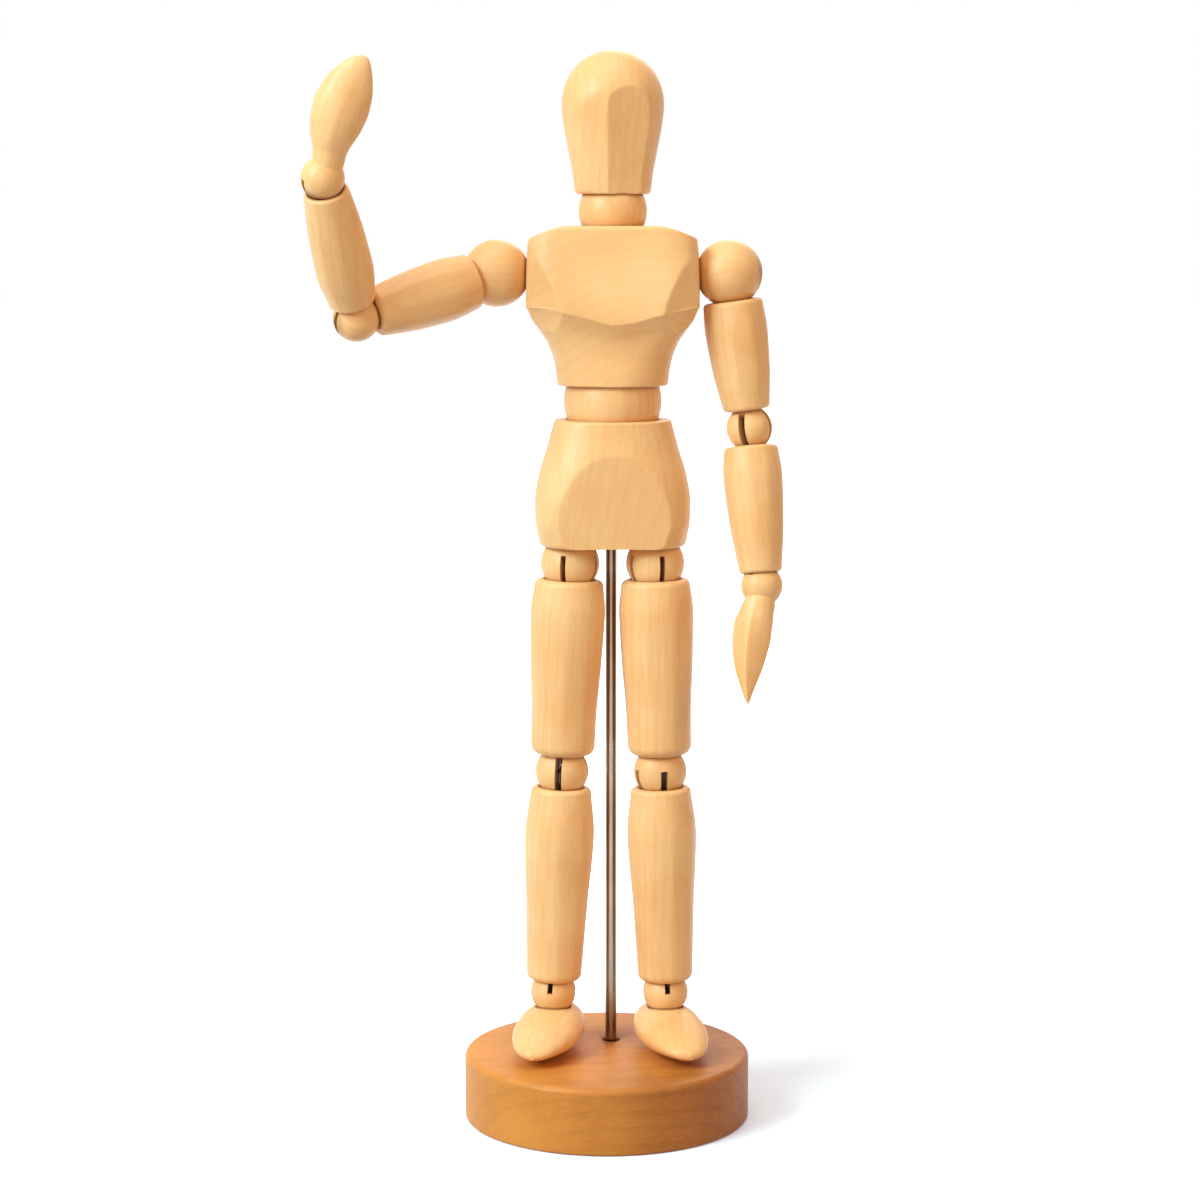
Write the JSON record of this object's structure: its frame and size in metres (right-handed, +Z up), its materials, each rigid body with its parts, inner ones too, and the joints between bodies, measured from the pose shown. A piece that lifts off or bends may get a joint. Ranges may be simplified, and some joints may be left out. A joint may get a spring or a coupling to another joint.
{
  "type": "artist mannequin",
  "caption": "Jointed wooden drawing figure on a round base with a steel rod, one arm raised in a wave.",
  "frame": {"origin": "centre of the base's underside", "axes": "+Z up, the figure faces -Y, its raised right arm is on the -X side"},
  "size_m": [0.1307, 0.087, 0.301],
  "materials": {
    "pale_wood": "smooth sanded pale beech, thin satin oil",
    "base_wood": "satin reddish brown stained wood",
    "polished_steel": "drawn bright steel wire",
    "spring_steel": "plain spring wire and strip"
  },
  "bodies": {
    "base": {"base": "base_wood"},
    "rod": {"rod": "polished_steel"},
    "pelvis": {"pelvis": "pale_wood"},
    "waist_ball": {"waist_ball": "pale_wood", "waist_spring": "spring_steel"},
    "waist_strip": {"waist_strip": "spring_steel"},
    "chest": {"chest": "pale_wood", "shoulder_spring": "spring_steel"},
    "neck_ball": {"neck_ball": "pale_wood", "neck_spring": "spring_steel"},
    "neck_strip": {"neck_strip": "spring_steel"},
    "head": {"head": "pale_wood"},
    "right_shoulder_ball": {"right_shoulder_ball": "pale_wood"},
    "right_upper_arm": {"right_upper_arm": "pale_wood", "right_shoulder_strip": "spring_steel"},
    "right_elbow_ball": {"right_elbow_ball": "pale_wood", "right_elbow_pin": "spring_steel", "right_upper_arm_spring": "spring_steel"},
    "right_forearm": {"right_forearm": "pale_wood", "right_elbow_strip": "spring_steel"},
    "right_forearm_spring": {"right_forearm_spring": "spring_steel"},
    "right_hand": {"right_hand": "pale_wood", "right_wrist_pin": "spring_steel"},
    "right_hip_ball": {"right_hip_ball": "pale_wood", "right_hip_spring": "spring_steel"},
    "right_thigh": {"right_thigh": "pale_wood", "right_hip_strip": "spring_steel"},
    "right_knee_ball": {"right_knee_ball": "pale_wood", "right_knee_pin": "spring_steel", "right_thigh_spring": "spring_steel"},
    "right_shin": {"right_shin": "pale_wood", "right_knee_strip": "spring_steel"},
    "right_shin_spring": {"right_shin_spring": "spring_steel"},
    "right_foot": {"right_foot": "pale_wood", "right_ankle_ball": "pale_wood", "right_ankle_pin": "spring_steel"},
    "left_shoulder_ball": {"left_shoulder_ball": "pale_wood"},
    "left_upper_arm": {"left_upper_arm": "pale_wood", "left_shoulder_strip": "spring_steel"},
    "left_elbow_ball": {"left_elbow_ball": "pale_wood", "left_elbow_pin": "spring_steel", "left_upper_arm_spring": "spring_steel"},
    "left_forearm": {"left_forearm": "pale_wood", "left_elbow_strip": "spring_steel"},
    "left_forearm_spring": {"left_forearm_spring": "spring_steel"},
    "left_hand": {"left_hand": "pale_wood", "left_wrist_pin": "spring_steel"},
    "left_hip_ball": {"left_hip_ball": "pale_wood", "left_hip_spring": "spring_steel"},
    "left_thigh": {"left_thigh": "pale_wood", "left_hip_strip": "spring_steel"},
    "left_knee_ball": {"left_knee_ball": "pale_wood", "left_knee_pin": "spring_steel", "left_thigh_spring": "spring_steel"},
    "left_shin": {"left_shin": "pale_wood", "left_knee_strip": "spring_steel"},
    "left_shin_spring": {"left_shin_spring": "spring_steel"},
    "left_foot": {"left_foot": "pale_wood", "left_ankle_ball": "pale_wood", "left_ankle_pin": "spring_steel"}
  },
  "joints": [
    {"name": "rod_turn", "type": "hinge", "parent": "base", "child": "rod", "pos_m": [0.0012, 0.01, 0], "axis": [0, 0, 1], "continuous": true},
    {"name": "figure_lift", "type": "slide", "parent": "rod", "child": "pelvis", "axis": [0, 0, 1], "range_m": [0, 0.02]},
    {"name": "waist_turn", "type": "hinge", "parent": "pelvis", "child": "waist_ball", "pos_m": [0.0016, 0.0045, 0.20426], "axis": [0, 0, 1], "range_deg": [-45, 45]},
    {"name": "waist_bend", "type": "hinge", "parent": "waist_ball", "child": "waist_strip", "pos_m": [0.0016, 0.0045, 0.20426], "axis": [1, 0, 0], "range_deg": [-12, 20]},
    {"name": "chest_turn", "type": "hinge", "parent": "waist_strip", "child": "chest", "pos_m": [0.0016, 0.0045, 0.20426], "axis": [0, 0, 1], "range_deg": [-45, 45]},
    {"name": "neck_turn", "type": "hinge", "parent": "chest", "child": "neck_ball", "pos_m": [0.0016, 0.0045, 0.25706], "axis": [0, 0, 1], "range_deg": [-45, 45]},
    {"name": "neck_bend", "type": "hinge", "parent": "neck_ball", "child": "neck_strip", "pos_m": [0.0016, 0.0045, 0.25706], "axis": [1, 0, 0], "range_deg": [-12, 20]},
    {"name": "head_turn", "type": "hinge", "parent": "neck_strip", "child": "head", "pos_m": [0.0016, 0.0045, 0.25706], "axis": [0, 0, 1], "range_deg": [-45, 45]},
    {"name": "right_shoulder_turn", "type": "hinge", "parent": "chest", "child": "right_shoulder_ball", "pos_m": [-0.0308, 0.0045, 0.23986], "axis": [-1, 0, 0], "range_deg": [-35, 90]},
    {"name": "right_shoulder_bend", "type": "hinge", "parent": "right_shoulder_ball", "child": "right_upper_arm", "pos_m": [-0.0308, 0.0045, 0.23986], "axis": [0, 0.5427, -0.8399], "range_deg": [-24, 55]},
    {"name": "right_elbow_turn", "type": "hinge", "parent": "right_upper_arm", "child": "right_elbow_ball", "pos_m": [-0.06842, -0.01401, 0.2279], "axis": [-0.8628, -0.4246, -0.2743], "range_deg": [-60, 60]},
    {"name": "right_elbow_bend", "type": "hinge", "parent": "right_elbow_ball", "child": "right_forearm", "pos_m": [-0.06842, -0.01401, 0.2279], "axis": [0.5029, -0.7759, -0.3809], "range_deg": [0, 84]},
    {"name": "right_wrist_turn", "type": "hinge", "parent": "right_forearm", "child": "right_forearm_spring", "pos_m": [-0.07504, -0.0367, 0.26537], "axis": [-0.1494, -0.5121, 0.8458], "range_deg": [-60, 60]},
    {"name": "right_wrist_bend", "type": "hinge", "parent": "right_forearm_spring", "child": "right_hand", "pos_m": [-0.07504, -0.0367, 0.26537], "axis": [0.5029, -0.7759, -0.3809], "range_deg": [-12, 60]},
    {"name": "right_hip_turn", "type": "hinge", "parent": "pelvis", "child": "right_hip_ball", "pos_m": [-0.0104, 0.0028, 0.15876], "axis": [-0.0401, 0, -0.9992], "range_deg": [-5, 45]},
    {"name": "right_hip_bend", "type": "hinge", "parent": "right_hip_ball", "child": "right_thigh", "pos_m": [-0.0104, 0.0028, 0.15876], "axis": [-0.9695, 0.2421, 0.0389], "range_deg": [-6, 50]},
    {"name": "right_knee_turn", "type": "hinge", "parent": "right_thigh", "child": "right_knee_ball", "pos_m": [-0.01279, 0.0028, 0.09931], "axis": [-0.0401, 0, -0.9992], "range_deg": [-10, 30]},
    {"name": "right_knee_bend", "type": "hinge", "parent": "right_knee_ball", "child": "right_shin", "pos_m": [-0.01279, 0.0028, 0.09931], "axis": [0.9895, -0.1393, -0.0397], "range_deg": [0, 55]},
    {"name": "right_ankle_turn", "type": "hinge", "parent": "right_shin", "child": "right_shin_spring", "pos_m": [-0.01536, 0.0028, 0.03516], "axis": [-0.0401, 0, -0.9992], "range_deg": [-15, 25]},
    {"name": "right_ankle_bend", "type": "hinge", "parent": "right_shin_spring", "child": "right_foot", "pos_m": [-0.01536, 0.0028, 0.03516], "axis": [-0.9869, 0.1566, 0.0396], "range_deg": [0, 15]},
    {"name": "left_shoulder_turn", "type": "hinge", "parent": "chest", "child": "left_shoulder_ball", "pos_m": [0.034, 0.0045, 0.23986], "axis": [-1, 0, 0], "range_deg": [-40, 120]},
    {"name": "left_shoulder_bend", "type": "hinge", "parent": "left_shoulder_ball", "child": "left_upper_arm", "pos_m": [0.034, 0.0045, 0.23986], "axis": [0, -1, 0], "range_deg": [0, 80]},
    {"name": "left_elbow_turn", "type": "hinge", "parent": "left_upper_arm", "child": "left_elbow_ball", "pos_m": [0.03992, 0.0045, 0.19666], "axis": [0.1357, 0, -0.9907], "range_deg": [-60, 60]},
    {"name": "left_elbow_bend", "type": "hinge", "parent": "left_elbow_ball", "child": "left_forearm", "pos_m": [0.03992, 0.0045, 0.19666], "axis": [-0.9182, 0.3757, -0.1258], "range_deg": [-10, 70]},
    {"name": "left_wrist_turn", "type": "hinge", "parent": "left_forearm", "child": "left_forearm_spring", "pos_m": [0.04339, -0.00165, 0.15293], "axis": [0.0785, -0.1387, -0.9872], "range_deg": [-60, 60]},
    {"name": "left_wrist_bend", "type": "hinge", "parent": "left_forearm_spring", "child": "left_hand", "pos_m": [0.04339, -0.00165, 0.15293], "axis": [-0.7817, 0.606, -0.1473], "range_deg": [-30, 40]},
    {"name": "left_hip_turn", "type": "hinge", "parent": "pelvis", "child": "left_hip_ball", "pos_m": [0.0136, 0.0028, 0.15876], "axis": [-0.0262, 0, 0.9997], "range_deg": [-5, 45]},
    {"name": "left_hip_bend", "type": "hinge", "parent": "left_hip_ball", "child": "left_thigh", "pos_m": [0.0136, 0.0028, 0.15876], "axis": [-0.9699, -0.242, -0.0254], "range_deg": [-6, 50]},
    {"name": "left_knee_turn", "type": "hinge", "parent": "left_thigh", "child": "left_knee_ball", "pos_m": [0.01516, 0.0028, 0.09928], "axis": [-0.0262, 0, 0.9997], "range_deg": [-10, 30]},
    {"name": "left_knee_bend", "type": "hinge", "parent": "left_knee_ball", "child": "left_shin", "pos_m": [0.01516, 0.0028, 0.09928], "axis": [0.9899, 0.1392, 0.0259], "range_deg": [0, 55]},
    {"name": "left_ankle_turn", "type": "hinge", "parent": "left_shin", "child": "left_shin_spring", "pos_m": [0.01684, 0.0028, 0.0351], "axis": [-0.0262, 0, 0.9997], "range_deg": [-15, 25]},
    {"name": "left_ankle_bend", "type": "hinge", "parent": "left_shin_spring", "child": "left_foot", "pos_m": [0.01684, 0.0028, 0.0351], "axis": [-0.9959, -0.0872, -0.0261], "range_deg": [0, 15]}
  ]
}
